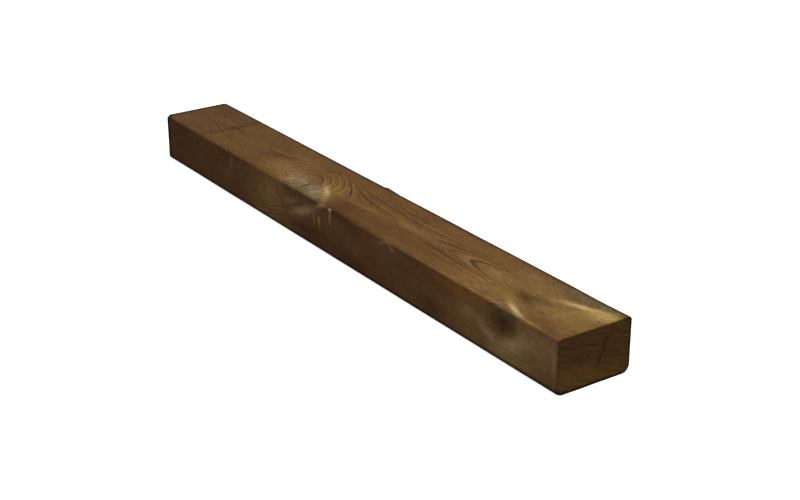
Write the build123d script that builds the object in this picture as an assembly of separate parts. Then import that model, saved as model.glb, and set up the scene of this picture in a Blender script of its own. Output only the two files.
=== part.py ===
"""A short length of planed and brown-treated softwood, 75 x 50 mm in section, in millimetres.

The piece lies on its bottom face. X runs along the grain, from the far end to the near end,
Y runs from the front edge to the back edge, and Z is up from the bottom face.
"""

import math
import os

from build123d import *

# Driving dimensions
LENGTH = 670.0
WIDTH = 75.0
THICKNESS = 50.0

# Radius of each long arris. The planer eased three of them alike and took more off the fourth.
TOP_FRONT_ARRIS = 2.5
TOP_BACK_ARRIS = 3.0
BOTTOM_FRONT_ARRIS = 3.0
BOTTOM_BACK_ARRIS = 7.5

# How far a cutter stands out of the face that it cuts, and the least share of its opening at an end
CUTTER_PROUD = 1.0
HAIRLINE = 0.05

# Drying checks. Each path is a list of (across, down) or (along, across) places on its face,
# and each check opens to its widest between its two closed ends.
HEART_CHECK_PATH = [(51.0, 10.5), (47.0, 13.0), (46.2, 20.5), (44.0, 25.5), (41.5, 31.0), (38.5, 36.5)]
HEART_CHECK_WIDTH = 1.1
HEART_CHECK_DEPTH = 14.0

FACE_CHECK_PATH = [(9.0, 40.0), (32.0, 41.5), (56.0, 44.0), (78.0, 50.0), (104.0, 54.5), (134.0, 58.5)]
FACE_CHECK_WIDTH = 0.7
FACE_CHECK_DEPTH = 4.0

ARRIS_KNOT_CHECK_PATH = [(270.0, 54.0), (272.5, 60.0), (272.0, 66.5), (274.5, 71.0)]
ARRIS_KNOT_CHECK_WIDTH = 1.2
ARRIS_KNOT_CHECK_DEPTH = 4.5

# The round knot on the front edge has a star of three checks that meet at its pith.
ROUND_KNOT_PITH = (598.0, 14.0)
ROUND_KNOT_STAR = [(-7.0, -3.0), (6.5, -4.0), (1.5, 7.0)]
ROUND_KNOT_CHECK_WIDTH = 0.9
ROUND_KNOT_CHECK_DEPTH = 3.0


def on_near_end(across, down):
    """A place on the near end, by its distance from the front edge and from the top face."""
    return Vector(LENGTH / 2, across - WIDTH / 2, THICKNESS - down)


def on_top_face(along, across):
    """A place on the top face, by its distance from the far end and from the back edge."""
    return Vector(along - LENGTH / 2, WIDTH / 2 - across, THICKNESS)


def on_front_edge(along, down):
    """A place on the front edge face, by its distance from the far end and from the top face."""
    return Vector(along - LENGTH / 2, -WIDTH / 2, THICKNESS - down)


def planed_blank():
    """The planed section, with its own radius on each arris, drawn on the YZ plane and extruded."""
    outline = Rectangle(WIDTH, THICKNESS, align=(Align.CENTER, Align.MIN))
    radii = {
        (-1, 1): TOP_FRONT_ARRIS,
        (1, 1): TOP_BACK_ARRIS,
        (-1, -1): BOTTOM_FRONT_ARRIS,
        (1, -1): BOTTOM_BACK_ARRIS,
    }
    for (side, level), radius in radii.items():
        corner_place = Vector(side * WIDTH / 2, THICKNESS if level > 0 else 0)
        corner = outline.vertices().sort_by_distance(corner_place)[0]
        outline = fillet(corner, radius)
    far_end_plane = Plane.YZ.offset(-LENGTH / 2)
    return extrude(far_end_plane * outline, LENGTH)


def check_cutter(path, face_normal, width, depth):
    """A drying check as a V-shaped cutter, lofted through one triangle at each point of its path.

    The triangle is as wide as the check is there at the surface, and pointed at the bottom. The
    opening swells like half a sine wave, from a hairline at one end of the path to one at the other.
    """
    normal = Vector(face_normal)
    last = len(path) - 1
    sections = []
    for number, point in enumerate(path):
        along = path[min(number + 1, last)] - path[max(number - 1, 0)]
        across = along.cross(normal).normalized()
        opening = max(HAIRLINE, math.sin(math.pi * number / last))
        bottom = point - normal * depth * opening
        # The two sides go on past the surface at the slope that they have below it.
        mouth = across * (width * opening / 2) * (1 + CUTTER_PROUD / (depth * opening))
        proud = point + normal * CUTTER_PROUD
        sections.append(Face(Wire.make_polygon([proud + mouth, proud - mouth, bottom], close=True)))
    return loft(sections, ruled=True)


def heart_check():
    """The radial check on the sawn near end."""
    path = [on_near_end(*place) for place in HEART_CHECK_PATH]
    return check_cutter(path, (1, 0, 0), HEART_CHECK_WIDTH, HEART_CHECK_DEPTH)


def face_check():
    """The long hairline check on the top face, which starts near the far end."""
    path = [on_top_face(*place) for place in FACE_CHECK_PATH]
    return check_cutter(path, (0, 0, 1), FACE_CHECK_WIDTH, FACE_CHECK_DEPTH)


def arris_knot_check():
    """The check across the big knot that the top front arris cuts through."""
    path = [on_top_face(*place) for place in ARRIS_KNOT_CHECK_PATH]
    return check_cutter(path, (0, 0, 1), ARRIS_KNOT_CHECK_WIDTH, ARRIS_KNOT_CHECK_DEPTH)


def round_knot_star():
    """The star of short checks in the round knot, one cutter for each arm."""
    along, down = ROUND_KNOT_PITH
    arms = []
    for reach_along, reach_down in ROUND_KNOT_STAR:
        # An arm starts a little beyond the pith, so that the three cross there.
        places = [(-0.15, 0.0), (0.2, 0.06), (0.6, -0.05), (1.0, 0.0)]
        path = [
            on_front_edge(
                along + share * reach_along - kink * reach_down,
                down + share * reach_down + kink * reach_along,
            )
            for share, kink in places
        ]
        arms.append(check_cutter(path, (0, -1, 0), ROUND_KNOT_CHECK_WIDTH, ROUND_KNOT_CHECK_DEPTH))
    return arms


def timber():
    """The whole piece: the planed blank with its drying checks cut in."""
    piece = planed_blank()
    for cutter in [heart_check(), face_check(), arris_knot_check(), *round_knot_star()]:
        piece = piece - cutter
    return piece


os.makedirs("parts", exist_ok=True)
export_step(timber(), "parts/timber.step")
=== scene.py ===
# %% [markdown]
# # A short length of brown-treated softwood
# The object is one piece of construction timber, 75 x 50 mm in section and 670 mm long. It was
# sawn from a log, planed on four sides with its long edges eased, cut square at both ends, and
# soaked under pressure with a brown preservative. It lies on one wide face.
# A builder knows such a piece by its grain, so that is where the work goes: growth rings that run
# on round the edges, knots that the rings flow round, drying checks, and a planed surface that is
# never quite flat.

import math
import random

import bmesh
import bpy
from mathutils import Matrix, Vector


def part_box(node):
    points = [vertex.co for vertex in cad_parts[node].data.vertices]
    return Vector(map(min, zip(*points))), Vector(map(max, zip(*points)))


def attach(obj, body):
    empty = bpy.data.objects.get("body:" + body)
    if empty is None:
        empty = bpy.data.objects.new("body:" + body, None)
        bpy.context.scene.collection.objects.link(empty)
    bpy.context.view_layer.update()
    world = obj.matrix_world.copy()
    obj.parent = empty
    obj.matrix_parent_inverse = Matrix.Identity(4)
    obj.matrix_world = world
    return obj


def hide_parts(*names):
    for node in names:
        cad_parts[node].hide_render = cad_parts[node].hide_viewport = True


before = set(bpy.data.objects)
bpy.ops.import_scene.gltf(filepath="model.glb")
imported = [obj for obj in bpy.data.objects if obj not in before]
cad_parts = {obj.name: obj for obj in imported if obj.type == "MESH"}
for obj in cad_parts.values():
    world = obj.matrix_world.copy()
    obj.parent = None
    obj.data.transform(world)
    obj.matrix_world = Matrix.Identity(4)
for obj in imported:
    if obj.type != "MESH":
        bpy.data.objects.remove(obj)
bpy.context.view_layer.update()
low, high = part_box("timber")

MM = 0.001
LENGTH = (high.x - low.x) / MM
WIDTH = (high.y - low.y) / MM
THICKNESS = (high.z - low.z) / MM
print(f"the timber is {LENGTH:.1f} x {WIDTH:.1f} x {THICKNESS:.1f} mm")

# %% [markdown]
# ## Finding places on the timber
# A carpenter measures from a face side and a face edge, so places are given in that way here: how
# far along from the far end, and how far across from the back edge or down from the top face.
# These helpers turn such a place into the timber's own frame, in millimetres.

# %% Places on the faces
def on_top(along, across):
    """A place on the top face."""
    return Vector((along - LENGTH / 2, WIDTH / 2 - across, THICKNESS))


def on_front(along, down):
    """A place on the front edge."""
    return Vector((along - LENGTH / 2, -WIDTH / 2, THICKNESS - down))


def on_near_end(across, down):
    """A place on the near end, with across measured from the front edge."""
    return Vector((LENGTH / 2, across - WIDTH / 2, THICKNESS - down))


# %% [markdown]
# ## Working in edit mode from a script
# An operator acts on all that is selected. So each step here first selects what it needs by place
# or direction, as a hand would with a box select, and then runs the operator.

# %% Selection helpers
# Places closer than this, in millimetres, count as one.
NEAR = 0.01


def start_fresh():
    """Leaves edit mode and selects nothing."""
    if bpy.context.object and bpy.context.object.mode != "OBJECT":
        bpy.ops.object.mode_set(mode="OBJECT")
    bpy.ops.object.select_all(action="DESELECT")


def pick(piece):
    """Makes a piece the selected and active one."""
    start_fresh()
    piece.select_set(True)
    bpy.context.view_layer.objects.active = piece


def choose(piece, part, wanted):
    """Opens the piece in edit mode with only the wanted vertices, edges or faces selected."""
    bpy.ops.object.mode_set(mode="EDIT")
    bpy.ops.mesh.select_mode(type=part)
    bpy.ops.mesh.select_all(action="DESELECT")
    bpy.ops.object.mode_set(mode="OBJECT")
    mesh = piece.data
    items = {"VERT": mesh.vertices, "EDGE": mesh.edges, "FACE": mesh.polygons}[part]
    count = 0
    for item in items:
        item.select = wanted(item)
        count += item.select
    bpy.ops.object.mode_set(mode="EDIT")
    return count


def ends_of(piece, edge):
    """The places of an edge's two ends, in millimetres."""
    return [piece.data.vertices[number].co / MM for number in edge.vertices]


# %% [markdown]
# ## The planed blank
# The real piece is a sawn baulk that went through a four-sided planer, so it starts as a block of
# the finished size. A beam could also be an extruded section, but a block with beveled edges keeps
# each rounded edge (its arris) as a separate step, with a radius of its own, as the cutters leave it.
# The arris at the bottom of the back edge is the rounder one.

# %% Block and eased edges
# Each arris has its side (-1 front, 1 back), its level (-1 bottom, 1 top) and its radius.
ARRISES = {
    "top front": (-1, 1, 2.5),
    "top back": (1, 1, 3.0),
    "bottom front": (-1, -1, 3.0),
    "bottom back": (1, -1, 7.5),
}
ARRIS_STEPS = 6

start_fresh()
bpy.ops.mesh.primitive_cube_add(
    size=1.0,
    location=(0, 0, THICKNESS * MM / 2),
    scale=(LENGTH * MM, WIDTH * MM, THICKNESS * MM),
)
timber = bpy.context.object
timber.name = "treated_timber"
bpy.ops.object.transform_apply(location=True, rotation=True, scale=True)

for name, (side, level, radius) in ARRISES.items():
    arris_y = side * WIDTH / 2
    arris_z = THICKNESS if level > 0 else 0.0
    choose(timber, "EDGE", lambda edge: all(
        abs(end.y - arris_y) < NEAR and abs(end.z - arris_z) < NEAR
        for end in ends_of(timber, edge)
    ))
    bpy.ops.mesh.bevel(
        offset_type="OFFSET", offset=radius * MM, segments=ARRIS_STEPS, profile=0.5, affect="EDGES"
    )
    bpy.ops.object.mode_set(mode="OBJECT")
    print(f"{name} arris: radius {radius} mm")

# %% [markdown]
# A saw leaves the ends square, but handling takes the very edge off. A bevel a third of a
# millimetre wide is enough to catch the light there.

# %% Worn rim of the sawn ends
RIM = 0.3

count = choose(timber, "EDGE", lambda edge: all(
    abs(abs(end.x) - LENGTH / 2) < NEAR for end in ends_of(timber, edge)
))
bpy.ops.mesh.bevel(offset_type="OFFSET", offset=RIM * MM, segments=2, profile=0.5, affect="EDGES")
bpy.ops.object.mode_set(mode="OBJECT")
print(f"{count} edges round the two ends worn back by {RIM} mm")

# %% [markdown]
# ## Enough mesh to carry relief
# A planed face is flat to the eye, but light that grazes it shows dished knots, dents and a slight
# waviness. Those have to be real shape, so the faces need small quads. A remesh would give them
# too, but it would lose the clean rounded edges. So the two end faces are taken out, the edges that
# cross the timber are subdivided, and each end is filled again with a grid. The long edges are
# divided last, more finely where the knots are.

# %% Divide across the grain
ALONG, ACROSS, UP = 0, 1, 2
SIDE_STEPS = 52
# The flat part of a side, between its two arrises, is more than this share of it.
FLAT_SHARE = 0.7


def runs_along(edge, axis, at_least):
    """True for an edge that is parallel to an axis and at least so many millimetres long."""
    a, b = ends_of(timber, edge)
    span = b - a
    others = [value for number, value in enumerate(span) if number != axis]
    return abs(span[axis]) >= at_least and all(abs(value) < NEAR for value in others)


choose(timber, "FACE", lambda face: abs(face.center.x) / MM > LENGTH / 2 - NEAR)
bpy.ops.mesh.delete(type="ONLY_FACE")
for axis, side in ((ACROSS, WIDTH), (UP, THICKNESS)):
    choose(timber, "EDGE", lambda edge: runs_along(edge, axis, side * FLAT_SHARE))
    bpy.ops.mesh.subdivide(number_cuts=SIDE_STEPS - 1)
bpy.ops.object.mode_set(mode="OBJECT")
print(f"{len(timber.data.vertices)} vertices after dividing the section")

# %% [markdown]
# The open rim is extruded inwards a little first, which keeps the soft shading of the rim off the
# sawn face. Grid fill starts at the active vertex, so one halfway round the top front arris is made
# active. All four sides have the same number of steps, so the grid comes out square to the timber
# whichever way round the rim it runs.

# %% Grid on the sawn ends
END_MARGIN = 0.4

for end in (-1, 1):
    choose(timber, "VERT", lambda vertex: vertex.co.x * end / MM > LENGTH / 2 - NEAR)
    bpy.ops.mesh.extrude_edges_move()
    bpy.ops.transform.resize(
        value=(1.0, 1 - 2 * END_MARGIN / WIDTH, 1 - 2 * END_MARGIN / THICKNESS),
        center_override=(end * LENGTH / 2 * MM, 0, THICKNESS / 2 * MM),
    )
    mesh = bmesh.from_edit_mesh(timber.data)
    rim = [vertex for vertex in mesh.verts if vertex.select]
    arris = Vector((end * LENGTH / 2, -WIDTH / 2, THICKNESS))
    mesh.select_history.add(min(rim, key=lambda vertex: (vertex.co / MM - arris).length))
    bpy.ops.mesh.fill_grid(span=SIDE_STEPS + ARRIS_STEPS)
    print(f"a rim of {len(rim)} vertices filled at one end")
choose(timber, "FACE", lambda face: True)
bpy.ops.mesh.normals_make_consistent(inside=False)
bpy.ops.object.mode_set(mode="OBJECT")

# %% [markdown]
# Along the grain, bisect first cuts the long faces where one stretch ends and the next begins, and
# each stretch is then subdivided. The stretches with the clearest knots, checks and corners get the
# shortest steps, so that the mesh is spent where it shows.

# %% Divide along the grain
# Each stretch runs to this place along the timber, and is divided into steps of this length.
STRETCHES = [(225.0, 3.0), (335.0, 1.45), (560.0, 3.0), (LENGTH, 1.45)]
# The worn rim shortens the first and last stretch a little, so an edge counts from this share on.
WHOLE_SHARE = 0.9

for stop, step in STRETCHES[:-1]:
    choose(timber, "FACE", lambda face: abs(face.normal.x) < 0.5)
    bpy.ops.mesh.bisect(plane_co=((stop - LENGTH / 2) * MM, 0, 0), plane_no=(1, 0, 0))
    bpy.ops.object.mode_set(mode="OBJECT")
start = 0.0
for stop, step in STRETCHES:
    at_least = (stop - start) * WHOLE_SHARE
    choose(timber, "EDGE", lambda edge: runs_along(edge, ALONG, at_least) and all(
        start - NEAR < end.x + LENGTH / 2 < stop + NEAR for end in ends_of(timber, edge)
    ))
    bpy.ops.mesh.subdivide(number_cuts=round((stop - start) / step) - 1)
    bpy.ops.object.mode_set(mode="OBJECT")
    start = stop
print(f"{len(timber.data.polygons)} faces before relief")

# %% [markdown]
# ## One small helper for every node
# Relief and finish are both made with nodes, and this adds one node with its settings. Its inputs
# are given in order, or by name, and each is another node, one of its sockets, or a plain value.

# %% Node helper and colours
MATH = "ShaderNodeMath"
VECTOR = "ShaderNodeVectorMath"
RANGE = "ShaderNodeMapRange"
NOISE = "ShaderNodeTexNoise"
MIX = "ShaderNodeMix"
# A noise's values lie round a half, so a span there is drawn out to the whole range of an effect.
NOISE_WIDE = (0.3, 0.7)
NOISE_SPAN = (0.32, 0.68)
NOISE_NARROW = (0.35, 0.65)


def add(tree, kind, inputs=(), operation=None, **settings):
    """Adds a node to a tree and gives its inputs, in order or by name, nodes, sockets or values."""
    node = tree.nodes.new(kind)
    if operation:
        node.operation = operation
    for name, value in settings.items():
        setattr(node, name, value)
    sockets = [socket for socket in node.inputs if socket.enabled]
    pairs = inputs.items() if isinstance(inputs, dict) else enumerate(inputs)
    for key, value in pairs:
        if isinstance(key, int):
            socket = sockets[key]
        else:
            socket = next(socket for socket in sockets if socket.name == key)
        if isinstance(value, bpy.types.Node):
            value = next(output for output in value.outputs if output.enabled)
        if isinstance(value, bpy.types.NodeSocket):
            tree.links.new(value, socket)
        else:
            socket.default_value = value
    return node


def empty_tree(owner):
    """The node tree of a material or a world, with nothing in it yet."""
    owner.use_nodes = True
    owner.node_tree.nodes.clear()
    return owner.node_tree


def linear(code):
    """Turns an sRGB hex colour into the linear colour that nodes work in."""
    parts = [int(code[place:place + 2], 16) / 255 for place in (1, 3, 5)]
    curved = [part / 12.92 if part <= 0.04045 else ((part + 0.055) / 1.055) ** 2.4 for part in parts]
    return curved + [1.0]


print("a preservative brown in linear light:", [round(part, 3) for part in linear("#64482b")])


# %% [markdown]
# ## How the wood grew
# A board is a slice through a solid that grew in layers, so its pattern is not a picture laid on
# each face. It is one field in space, and every face, edge and check cuts through the same field.
# The field here is the age of the wood, measured as a distance from the pith of the stem, which ran
# just below this piece. A knot is the root of a branch: a cone with rings of its own, whose tip is
# at the pith. The stem's later rings had to grow over it, so near a knot they are lifted outwards,
# and a sawn face then cuts them as ovals and flames. A wave texture would be quicker, but its
# rings would pass straight through the knots and would not meet at the arrises.

# %% Stem and branches
# The pith of the stem at both ends of the timber, and the width of one year's ring.
PITH_FAR = Vector((-LENGTH / 2, -7.4, -10.0))
PITH_NEAR = Vector((LENGTH / 2, -7.3, -17.9))
RING = 2.4

# A knot runs from its root to its heart, where it has its radius, and is stretched along the stem.
# It lifts the stem's rings, which fades with distance, and its own rings are finer. Its wood colour
# is full inside the first edge and gone outside the second, as shares of its radius.
KNOTS = {
    "arris knot": {
        "root": (-189, 13.4, -25), "heart": (-63, -30, 50), "radius": 15.6, "stretch": 1.6,
        "lift": 3.0, "fade": 2.0, "fine": 1.3,
        "wood": "#64502f", "strength": 0.8, "edge": (0.85, 1.0), "rind": 0.15,
    },
    "round knot": {
        "root": (252, -8, 16), "heart": (259.5, -37.5, 35.0), "radius": 11.3, "stretch": 1.75,
        "lift": 8.0, "fade": 1.6, "fine": 1.4,
        "wood": "#755c3e", "strength": 0.75, "edge": (0.92, 1.03), "rind": 0.3,
    },
    "back knot": {
        "root": (270, 0, -20), "heart": (295, 40, 50), "radius": 22.0, "stretch": 1.9,
        "lift": 13.0, "fade": 2.1, "fine": 1.3,
        "wood": "#6a5c42", "strength": 0.4, "edge": (0.6, 1.0), "rind": 0.1,
    },
}
# Close to its root, a knot keeps the radius that it has at this height.
KNOT_TIP = 2.0
# The stem was not a smooth cone: near a knot and along a ridge its rings bulge. Each bulge has a
# place, a reach and a height.
BULGES = [
    ((350, 2.8, 50), (161, 18.8, 60), 16.1),
    ((-75.9, -15.2, 50), (41, 67, 60), 11.3),
    ((165, 0, 50), (75, 25, 40), -0.85),
    ((75, 10, 50), (60, 9, 40), -0.8),
]
print(f"{len(KNOTS)} knots in a stem with rings {RING} mm apart")

# %% [markdown]
# Two distances are all the field needs: how far a place is from a line, for the pith and the knots,
# and a soft spot that is 1 at its centre, for whatever is stronger in one place.

# %% Distances in the wood
def off_axis(tree, place, start, end, squeeze=(1, 1, 1)):
    """The offset from the line through two points, its length, and the height along the line."""
    axis = (Vector(end) - Vector(start)).normalized()
    arm = add(tree, VECTOR, (place, Vector(start)), "SUBTRACT")
    height = add(tree, VECTOR, (arm, axis), "DOT_PRODUCT")
    foot = add(tree, VECTOR, (axis, height), "SCALE")
    offset = add(tree, VECTOR, (arm, foot), "SUBTRACT")
    squeezed = add(tree, VECTOR, (offset, squeeze), "MULTIPLY")
    return offset, add(tree, VECTOR, (squeezed,), "LENGTH"), height


def soft_spot(tree, place, centre, reach):
    """A number that is 1 at a centre and fades to nothing a little beyond its reach."""
    arm = add(tree, VECTOR, (place, Vector(centre)), "SUBTRACT")
    share = add(tree, VECTOR, (arm, reach), "DIVIDE")
    square = add(tree, VECTOR, (share, share), "DOT_PRODUCT")
    return add(tree, MATH, (1 / math.e, square), "POWER")


# %% [markdown]
# The field is then the distance from the pith, less what each knot and bulge has lifted the rings.

# %% The growth field
def growth(tree, place):
    """The age of the wood, where its fibres came from, and the share of each knot's radius."""
    age = off_axis(tree, place, PITH_FAR, PITH_NEAR)[1]
    fibre = place
    shares = []
    for knot in KNOTS.values():
        squeeze = (1 / knot["stretch"], 1, 1)
        offset, distance, height = off_axis(tree, place, knot["root"], knot["heart"], squeeze)
        slope = knot["radius"] / (Vector(knot["heart"]) - Vector(knot["root"])).length
        room = add(tree, MATH, (height, KNOT_TIP), "MAXIMUM")
        radius = add(tree, MATH, (room, slope), "MULTIPLY")
        share = add(tree, MATH, (distance, radius), "DIVIDE")
        beyond = add(tree, MATH, (share, 1.0), "SUBTRACT")
        outside = add(tree, MATH, (beyond, 0.0), "MAXIMUM")
        swell = add(tree, MATH, (math.exp(-knot["fade"]), outside), "POWER")
        lift = add(tree, MATH, (swell, knot["lift"]), "MULTIPLY")
        age = add(tree, MATH, (age, lift), "SUBTRACT")
        # Fibres part round the knot as a stream parts round a post.
        held = add(tree, MATH, (share, 1.0), "MAXIMUM")
        square = add(tree, MATH, (held, held), "MULTIPLY")
        push = add(tree, MATH, (1.0, square), "DIVIDE")
        parted = add(tree, VECTOR, (offset, push), "SCALE")
        sideways = add(tree, VECTOR, (parted, (0, 1, 1)), "MULTIPLY")
        fibre = add(tree, VECTOR, (fibre, sideways), "SUBTRACT")
        shares.append(share)
    for centre, reach, rise in BULGES:
        bulge = add(tree, MATH, (soft_spot(tree, place, centre, reach), rise), "MULTIPLY")
        age = add(tree, MATH, (age, bulge), "SUBTRACT")
    return age, fibre, shares


# %% [markdown]
# ## Relief left by the planer
# The planer's knives leave the wood a little low where it is soft and high where it is hard, and a
# knot tears or dishes. Sculpting would do, but a scripted sculpt can't be read back. Geometry nodes
# can use the growth field itself: each vertex moves along its normal by a height in millimetres,
# which is never above zero, so that the timber keeps its planed size.

# %% Sizes of the relief
WAVE_LENGTH = 60.0
WAVE_HEIGHT = 0.22
WAVE_STRETCH = (0.6, 1.6, 1.6)
DISH = 0.35
RIPPLE = 0.05
# The sliver's share of the way out to the sharp corner, and where along the timber, from its
# middle, it rises and runs out.
SLIVER = 0.85
SLIVER_RISE = (-14.0, -12.5)
SLIVER_END = (-8.0, 12.0)
# Corners that have been knocked, from the middle of the block, and how far in the knock reaches.
KNOCKS = [
    ((LENGTH / 2, -WIDTH / 2, -THICKNESS / 2), 2.3),
    ((-LENGTH / 2, -WIDTH / 2, THICKNESS / 2), 2.1),
    ((-LENGTH / 2, WIDTH / 2, THICKNESS / 2), 2.0),
    ((LENGTH / 2, WIDTH / 2, THICKNESS / 2), 1.3),
]
# The change from a face to a knock is softened over this many millimetres.
KNOCK_BLEND = 0.8
print(f"relief of {WAVE_HEIGHT + DISH + RIPPLE:.2f} mm at most, and {len(KNOCKS)} knocked corners")

# %% Waves, dished knots and their ripples
relief = bpy.data.node_groups.new("planed_relief", "GeometryNodeTree")
relief.interface.new_socket("Geometry", in_out="INPUT", socket_type="NodeSocketGeometry")
relief.interface.new_socket("Geometry", in_out="OUTPUT", socket_type="NodeSocketGeometry")
incoming = add(relief, "NodeGroupInput")
position = add(relief, "GeometryNodeInputPosition")
place = add(relief, VECTOR, (position, 1 / MM), "SCALE")
shares = growth(relief, place)[2]

stretched = add(relief, VECTOR, (place, WAVE_STRETCH), "MULTIPLY")
waves = add(relief, NOISE, {"Vector": stretched, "Scale": 1 / WAVE_LENGTH, "Detail": 2.0})
height = add(relief, RANGE, (waves, *NOISE_WIDE, -WAVE_HEIGHT, 0.0))
for knot, share in zip(KNOTS.values(), shares):
    dished = add(relief, RANGE, (share, 0.0, 1.05, -DISH, 0.0), interpolation_type="SMOOTHSTEP")
    height = add(relief, MATH, (height, dished), "ADD")
    # One ripple for each of the knot's own rings.
    full_turns = knot["radius"] * knot["fine"] / RING * math.tau
    phase = add(relief, MATH, (share, full_turns), "MULTIPLY")
    ripple = add(relief, MATH, (phase,), "SINE")
    ripple_height = add(relief, RANGE, (share, 0.9, 1.1, RIPPLE, 0.0))
    height = add(relief, MATH, (ripple, ripple_height, height), "MULTIPLY_ADD")
height = add(relief, MATH, (height, 0.0), "MINIMUM")
print(f"waves of {WAVE_HEIGHT} mm, and knots dished by {DISH} mm")

# %% [markdown]
# A sliver of the top back arris was left less rounded, and breaks off short on its far side. It
# stands up by a share of the way out to the sharp corner, which is the radius over the larger part
# of the normal, less the radius. So it never passes the planed block.

# %% Sliver on the top back arris
back_radius = ARRISES["top back"][2]
normal = add(relief, "GeometryNodeInputNormal")
facing = add(relief, "ShaderNodeSeparateXYZ", (normal,)).outputs
along = add(relief, "ShaderNodeSeparateXYZ", (place,)).outputs["X"]
larger = add(relief, MATH, (facing["Y"], facing["Z"]), "MAXIMUM")
# The larger part is never under 0.7 on an arris, and elsewhere this keeps the division safe.
steady = add(relief, MATH, (larger, 0.7), "MAXIMUM")
to_planes = add(relief, MATH, (back_radius, steady), "DIVIDE")
to_corner = add(relief, MATH, (to_planes, back_radius), "SUBTRACT")
risen = add(relief, RANGE, (along, *SLIVER_RISE, 0.0, SLIVER))
faded = add(relief, RANGE, (along, *SLIVER_END, 1.0, 0.0))
sliver = add(relief, MATH, (risen, faded), "MULTIPLY")
sliver = add(relief, MATH, (sliver, to_corner), "MULTIPLY")
# Only on that arris does the normal point both up and back.
smaller = add(relief, MATH, (facing["Y"], facing["Z"]), "MINIMUM")
on_arris = add(relief, MATH, (smaller, 0.05), "GREATER_THAN")
sliver = add(relief, MATH, (sliver, on_arris), "MULTIPLY")
height = add(relief, MATH, (height, sliver), "ADD")
move = add(relief, VECTOR, (normal, height), "SCALE")
print(f"a sliver {SLIVER_END[1] - SLIVER_RISE[0]:.0f} mm long on an arris of radius {back_radius} mm")

# %% [markdown]
# Handling has knocked some corners. Whatever stands beyond a slanted plane there is pushed back to
# it, with a soft change, because knocked fibre is crushed and not cut.

# %% Knocked corners
from_centre = add(relief, VECTOR, (place, (0, 0, THICKNESS / 2)), "SUBTRACT")
for corner, depth in KNOCKS:
    outward = Vector([math.copysign(1, side) for side in corner]).normalized()
    reach = Vector(corner).dot(outward) - depth
    stand = add(relief, VECTOR, (from_centre, outward), "DOT_PRODUCT")
    beyond = add(relief, MATH, (stand, reach), "SUBTRACT")
    excess = add(relief, MATH, (beyond, 0.0, KNOCK_BLEND), "SMOOTH_MAX")
    back = add(relief, MATH, (excess, -1.0), "MULTIPLY")
    push = add(relief, VECTOR, (outward, back), "SCALE")
    move = add(relief, VECTOR, (move, push), "ADD")
print(f"{len(KNOCKS)} corners knocked")

# %% Apply the relief
metres = add(relief, VECTOR, (move, MM), "SCALE")
moved = add(relief, "GeometryNodeSetPosition", {"Geometry": incoming, "Offset": metres})
add(relief, "NodeGroupOutput", (moved,))

pick(timber)
bpy.ops.object.modifier_add(type="NODES")
timber.modifiers[-1].node_group = relief
bpy.ops.object.modifier_apply(modifier=timber.modifiers[-1].name)
print(f"{len(relief.nodes)} nodes gave the relief")

# %% [markdown]
# ## Camera
# The timber is seen from its near end, a little above, with a long lens. The camera's place was
# worked out from the straight outlines of the timber, so it is given as numbers.

# %% Camera
CAMERA_PLACE = Vector((1.1275, -0.7282, 0.5783))
CAMERA_TARGET = Vector((0.0735, -0.0067, 0.025))
CAMERA_ROLL = -0.26
CAMERA_LENS = 68.45

start_fresh()
bpy.ops.object.camera_add()
camera = bpy.context.object
aim = (CAMERA_TARGET - CAMERA_PLACE).to_track_quat("-Z", "Y").to_matrix().to_4x4()
roll = Matrix.Rotation(math.radians(CAMERA_ROLL), 4, "Z")
camera.matrix_world = Matrix.Translation(CAMERA_PLACE) @ aim @ roll
camera.data.sensor_width = 36.0
camera.data.lens = CAMERA_LENS
bpy.context.scene.camera = camera
print(f"a {CAMERA_LENS} mm lens, {(CAMERA_PLACE - CAMERA_TARGET).length:.2f} m away")

# %% [markdown]
# ## Brown-treated softwood
# Planed pine or spruce, soaked in a brown preservative that gives it a dull, slightly green brown.
# The soft pale wood that grew in spring takes up more of it than the dense dark bands of summer.
# The surface is matt, because the planer leaves cut fibre ends and the salts dry on them.
# The material reads the same growth field as the relief, so the rings, the fibres and the knots are
# in one place in both.

# %% The field in the material
softwood = bpy.data.materials.new("brown_treated_softwood")
wood = empty_tree(softwood)
position = add(wood, "ShaderNodeTexCoord").outputs["Object"]
place = add(wood, VECTOR, (position, 1 / MM), "SCALE")
age, fibre, shares = growth(wood, place)
print(f"{len(wood.nodes)} nodes in the growth field")

# %% [markdown]
# A ring is one year: pale and soft at first, then darker and denser, with a sharp end where winter
# stops it. So the band rises slowly and falls at once. Years differ, so each ring gets a weight of
# its own from a white noise that reads the number of the year. A dry spell in summer leaves a
# fainter line inside the year, a false ring.

# %% Growth rings
RING_WANDER = 1.0
WANDER_LENGTH = 30.0
# The dark summer wood begins and is full at these parts of the year, and winter ends it at these.
SUMMER = (0.58, 0.92)
WINTER = (0.93, 1.0)
# The weakest year's band, against 1 for the strongest, and the dry spell: when in the year it comes,
# how long it lasts either way, and how dark it is.
WEAKEST_YEAR = 0.7
DRY_SPELL = 0.4
SPELL_REACH = 0.12
SPELL_STRENGTH = 0.45

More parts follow.
